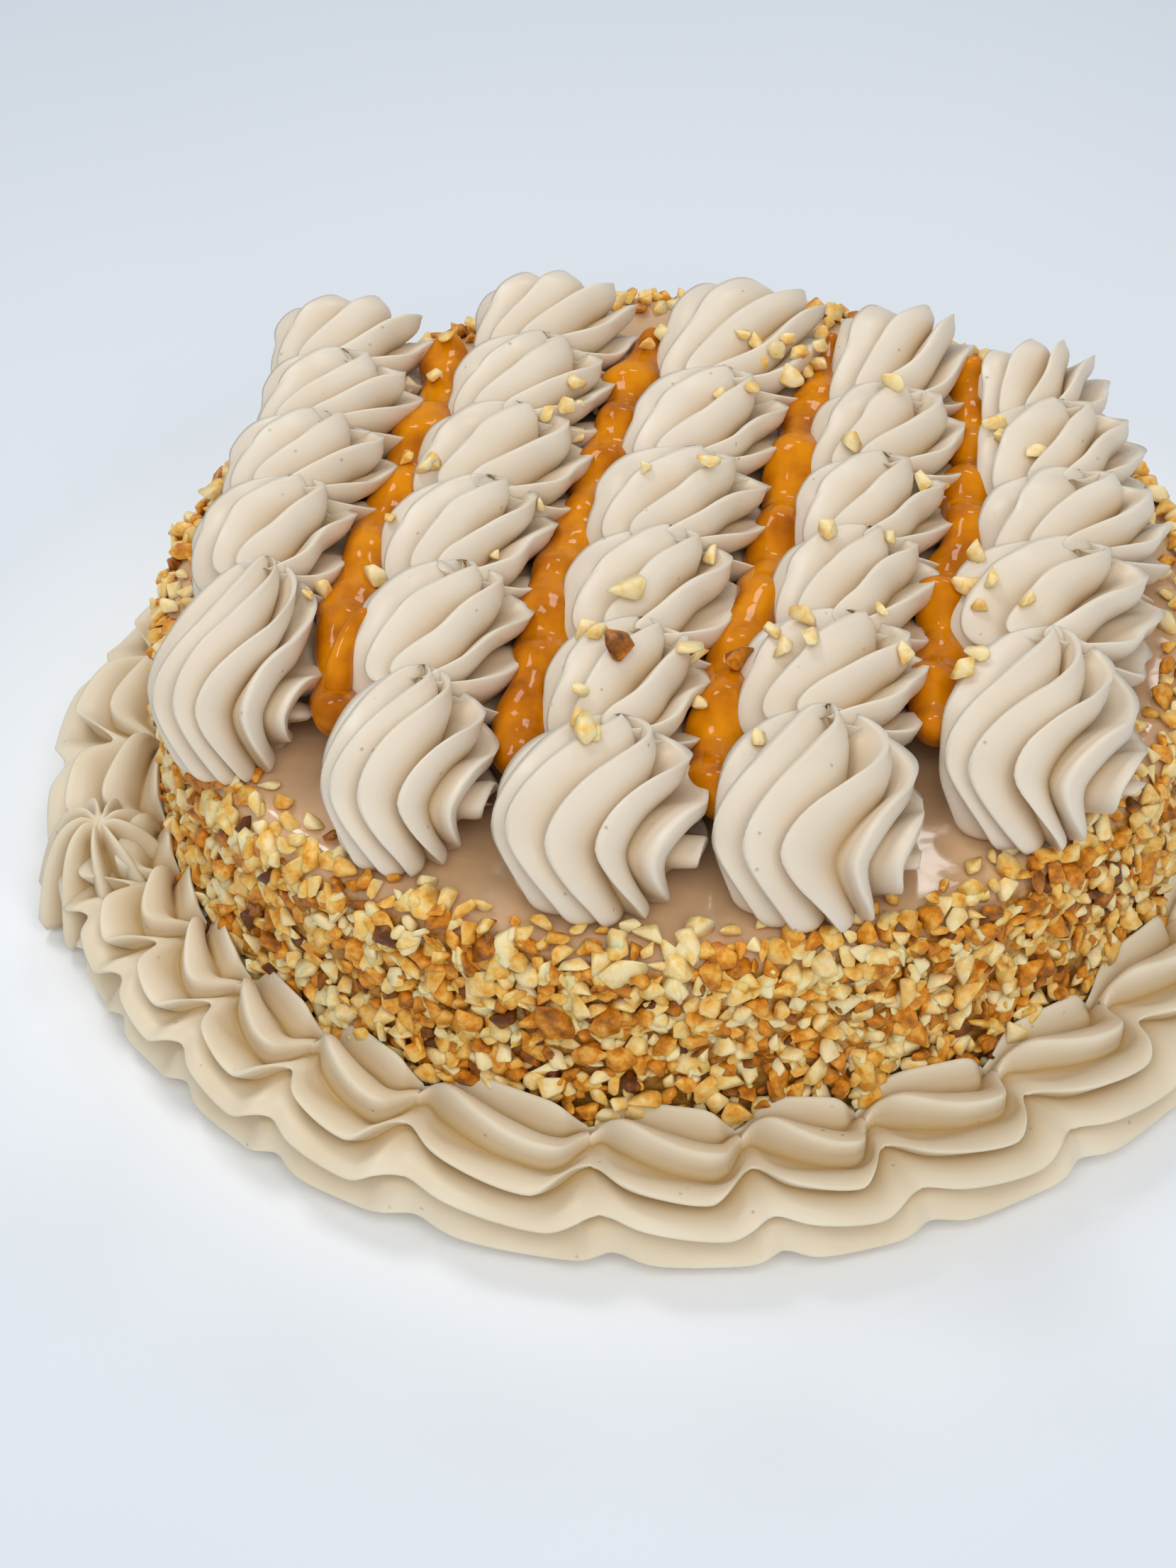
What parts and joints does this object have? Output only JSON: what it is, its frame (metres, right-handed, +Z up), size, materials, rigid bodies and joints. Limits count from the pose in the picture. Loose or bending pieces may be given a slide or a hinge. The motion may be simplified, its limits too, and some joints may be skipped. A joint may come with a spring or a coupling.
{
  "type": "hazelnut dacquoise cake",
  "caption": "Whole round layer cake with a glossy glazed top, chopped hazelnuts on its wall, rows of piped cream shells with caramel between them, and a piped shell border round the foot.",
  "frame": {"origin": "centre of the cake's foot, on the surface it stands on", "axes": "+Z up; the rows of shells run along Y, piped from the back (+Y) to the front (-Y); +X to the right seen from the front"},
  "size_m": [0.2409, 0.243, 0.0743],
  "materials": {
    "glaze_and_nuts": "glossy tan glaze on top, rough chopped nuts on the wall",
    "piped_cream": "smooth satin cream",
    "border_cream": "smooth satin cream",
    "caramel": "glossy amber"
  },
  "bodies": {
    "root": {"cake_body": "glaze_and_nuts", "swirl_row_1": "piped_cream", "swirl_row_2": "piped_cream", "swirl_row_3": "piped_cream", "swirl_row_4": "piped_cream", "swirl_row_5": "piped_cream", "caramel_band_1": "caramel", "caramel_band_2": "caramel", "caramel_band_3": "caramel", "caramel_band_4": "caramel", "base_border": "border_cream"}
  },
  "joints": []
}
